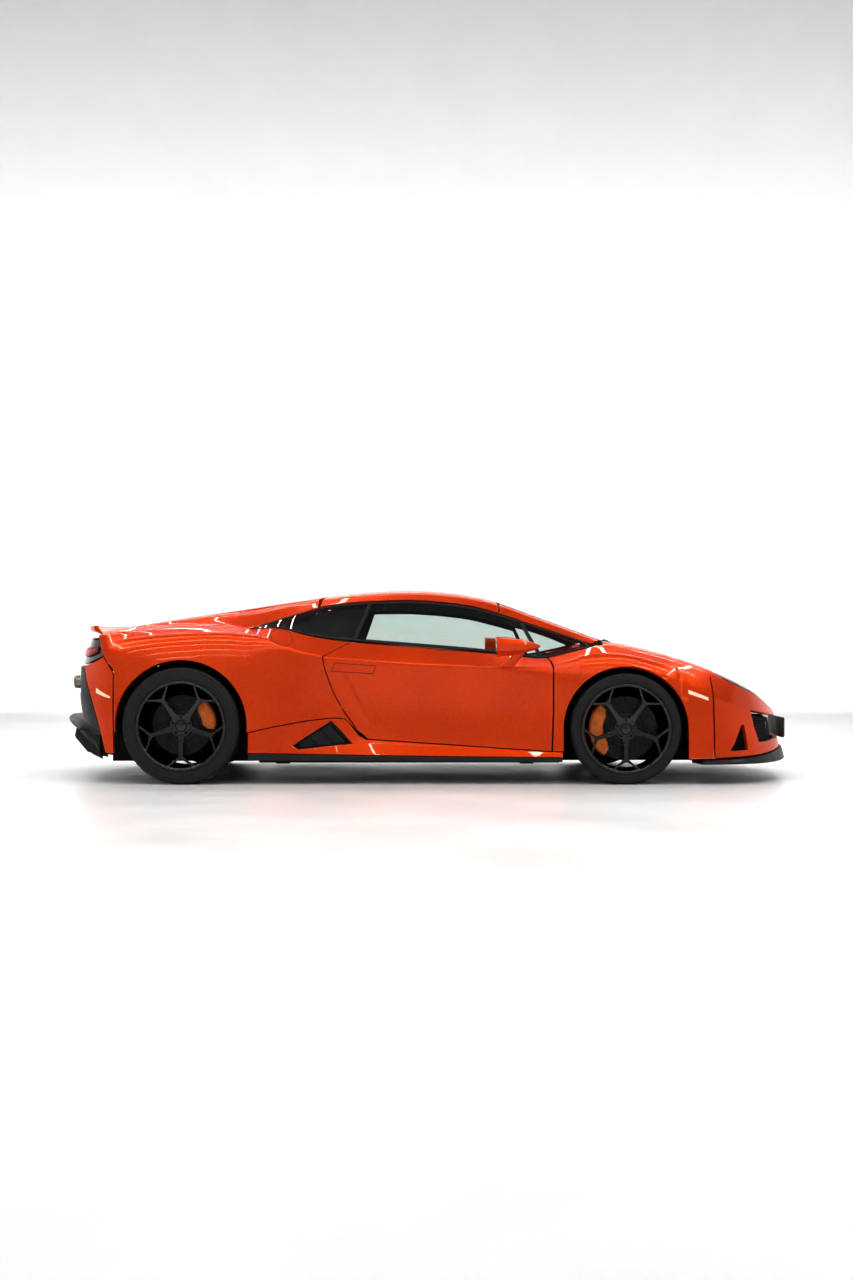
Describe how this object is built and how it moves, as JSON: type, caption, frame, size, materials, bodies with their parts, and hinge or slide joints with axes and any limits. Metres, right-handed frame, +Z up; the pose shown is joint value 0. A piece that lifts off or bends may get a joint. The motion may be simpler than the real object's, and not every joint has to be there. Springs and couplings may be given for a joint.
{
  "type": "mid-engined two-seat supercar",
  "caption": "Low mid-engined two-seat sports car with hinged doors, front lid and engine cover, steered front wheels and free-turning wheels.",
  "frame": {"origin": "on the ground under the middle of the car's outer box, mirrors included", "axes": "+X forward, +Y to the car's left, +Z up"},
  "size_m": [4.5159, 2.225, 1.1647],
  "materials": {
    "body_paint": "gloss metallic orange",
    "window_glass": "clear, slightly grey-green",
    "lamp_lens": "clear lens",
    "gloss_black": "gloss",
    "satin_black": "satin",
    "seat_leather": "fine grain",
    "exhaust_steel": "brushed",
    "cast_alloy": "cast",
    "caliper_paint": "gloss orange",
    "tyre_rubber": "matte",
    "wheel_black": "gloss black",
    "disc_iron": "ground"
  },
  "bodies": {
    "car_body": {"chassis": "satin_black", "luggage_tub": "satin_black", "front_fenders": "body_paint", "rear_quarters": "body_paint", "roof_panel": "body_paint", "windscreen_pillars": "body_paint", "windshield": "window_glass", "quarter_windows": "window_glass", "rear_window": "window_glass", "front_bumper": "body_paint", "front_grille": "satin_black", "front_splitter": "gloss_black", "headlights": "lamp_lens", "number_plate": "gloss_black", "side_sills": "body_paint", "side_skirts": "gloss_black", "side_intakes": "satin_black", "rear_bumper": "body_paint", "rear_fascia": "satin_black", "tail_panel": "gloss_black", "tail_lights": "lamp_lens", "rear_spoiler": "body_paint", "diffuser": "gloss_black", "exhaust_tips": "exhaust_steel", "wheel_arch_liners": "satin_black", "engine": "cast_alloy", "seats": "seat_leather", "dashboard": "satin_black", "wishbones": "cast_alloy", "rear_knuckles": "caliper_paint"},
    "left_door": {"door_left": "body_paint", "door_glass_left": "window_glass", "mirror_left": "body_paint"},
    "right_door": {"door_right": "body_paint", "door_glass_right": "window_glass", "mirror_right": "body_paint"},
    "front_lid": {"front_lid": "body_paint"},
    "engine_cover": {"engine_cover": "body_paint", "engine_cover_louvres": "gloss_black"},
    "steering_wheel": {"steering_wheel": "seat_leather"},
    "front_left_knuckle": {"front_knuckle_left": "caliper_paint"},
    "front_right_knuckle": {"front_knuckle_right": "caliper_paint"},
    "front_left_wheel": {"tyre_front_left": "tyre_rubber", "rim_front_left": "wheel_black", "disc_front_left": "disc_iron"},
    "front_right_wheel": {"tyre_front_right": "tyre_rubber", "rim_front_right": "wheel_black", "disc_front_right": "disc_iron"},
    "rear_left_wheel": {"tyre_rear_left": "tyre_rubber", "rim_rear_left": "wheel_black", "disc_rear_left": "disc_iron"},
    "rear_right_wheel": {"tyre_rear_right": "tyre_rubber", "rim_rear_right": "wheel_black", "disc_rear_right": "disc_iron"}
  },
  "joints": [
    {"name": "steer_left", "type": "hinge", "parent": "car_body", "child": "front_left_knuckle", "pos_m": [1.175, 0.789, 0.327], "axis": [0, 0, 1], "range_deg": [-30, 30]},
    {"name": "steer_right", "type": "hinge", "parent": "car_body", "child": "front_right_knuckle", "pos_m": [1.175, -0.789, 0.327], "axis": [0, 0, 1], "range_deg": [-30, 30]},
    {"name": "steering_wheel_turn", "type": "hinge", "parent": "car_body", "child": "steering_wheel", "pos_m": [0.38, 0.37, 0.64], "axis": [-0.9272, 0, 0.3746], "range_deg": [-420, 420]},
    {"name": "front_left_wheel_spin", "type": "hinge", "parent": "front_left_knuckle", "child": "front_left_wheel", "pos_m": [1.175, 0.834, 0.327], "axis": [0, 1, 0], "continuous": true},
    {"name": "rear_left_wheel_spin", "type": "hinge", "parent": "car_body", "child": "rear_left_wheel", "pos_m": [-1.445, 0.81, 0.345], "axis": [0, 1, 0], "continuous": true},
    {"name": "left_door_hinge", "type": "hinge", "parent": "car_body", "child": "left_door", "pos_m": [0.65, 0.926, 0.45], "axis": [0, 0, -1], "range_deg": [0, 60]},
    {"name": "front_right_wheel_spin", "type": "hinge", "parent": "front_right_knuckle", "child": "front_right_wheel", "pos_m": [1.175, -0.834, 0.327], "axis": [0, 1, 0], "continuous": true},
    {"name": "rear_right_wheel_spin", "type": "hinge", "parent": "car_body", "child": "rear_right_wheel", "pos_m": [-1.445, -0.81, 0.345], "axis": [0, 1, 0], "continuous": true},
    {"name": "right_door_hinge", "type": "hinge", "parent": "car_body", "child": "right_door", "pos_m": [0.65, -0.926, 0.45], "axis": [0, 0, 1], "range_deg": [0, 60]},
    {"name": "front_lid_hinge", "type": "hinge", "parent": "car_body", "child": "front_lid", "pos_m": [1.06, 0, 0.85], "axis": [0, -1, 0], "range_deg": [0, 60]},
    {"name": "engine_cover_hinge", "type": "hinge", "parent": "car_body", "child": "engine_cover", "pos_m": [-0.64, 0, 1.122], "axis": [0, 1, 0], "range_deg": [0, 55]}
  ],
  "couplings": [
    {"joint": "steer_right", "follows": "steer_left", "ratio": 1},
    {"joint": "steering_wheel_turn", "follows": "steer_left", "ratio": 14}
  ]
}
